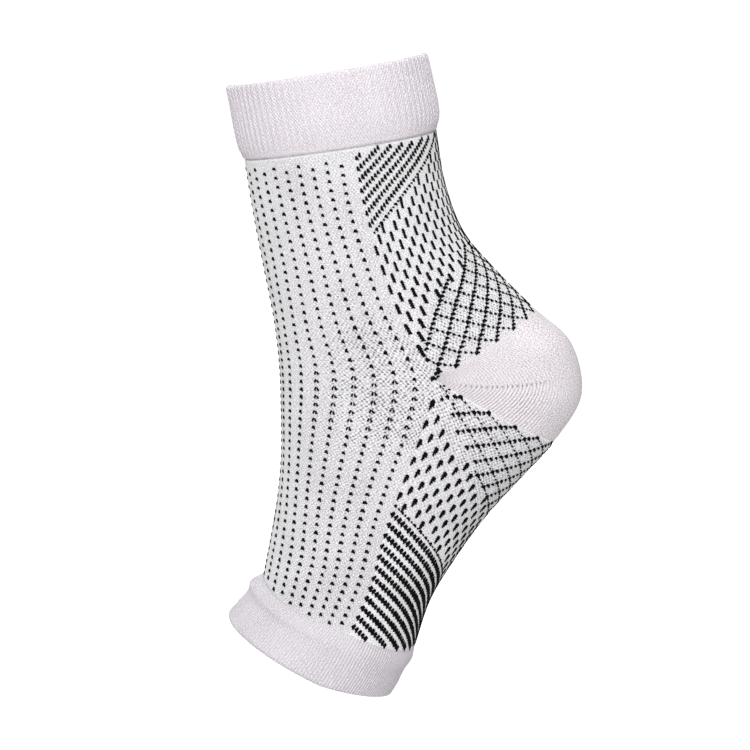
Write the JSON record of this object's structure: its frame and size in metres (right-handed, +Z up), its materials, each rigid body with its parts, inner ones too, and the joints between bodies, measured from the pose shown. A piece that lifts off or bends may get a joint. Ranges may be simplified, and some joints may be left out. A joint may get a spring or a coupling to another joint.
{
  "type": "foot compression sleeve",
  "caption": "Open-toed knitted foot and ankle compression sleeve in its worn shape: doubled top cuff, dotted instep, jacquard back panel, plain heel pocket and ribbed toe cuff.",
  "frame": {"origin": "centre of the ankle hollow, in the middle plane, level with the two side corners of the heel pocket", "axes": "+Z up the leg, the longest way; +X towards the heel; +Y across the foot, the shortest way; the sleeve is the same on both sides of y = 0"},
  "size_m": [0.1419, 0.0876, 0.2572],
  "materials": {
    "cuff_knit": "matt white double knit",
    "pattern_knit": "matt white single knit",
    "heel_knit": "matt white dense knit",
    "dark_yarn": "matt black pattern yarn"
  },
  "bodies": {
    "root": {"top_cuff": "cuff_knit", "sleeve_body": "pattern_knit", "heel_pocket": "heel_knit", "toe_cuff": "cuff_knit"}
  },
  "joints": []
}
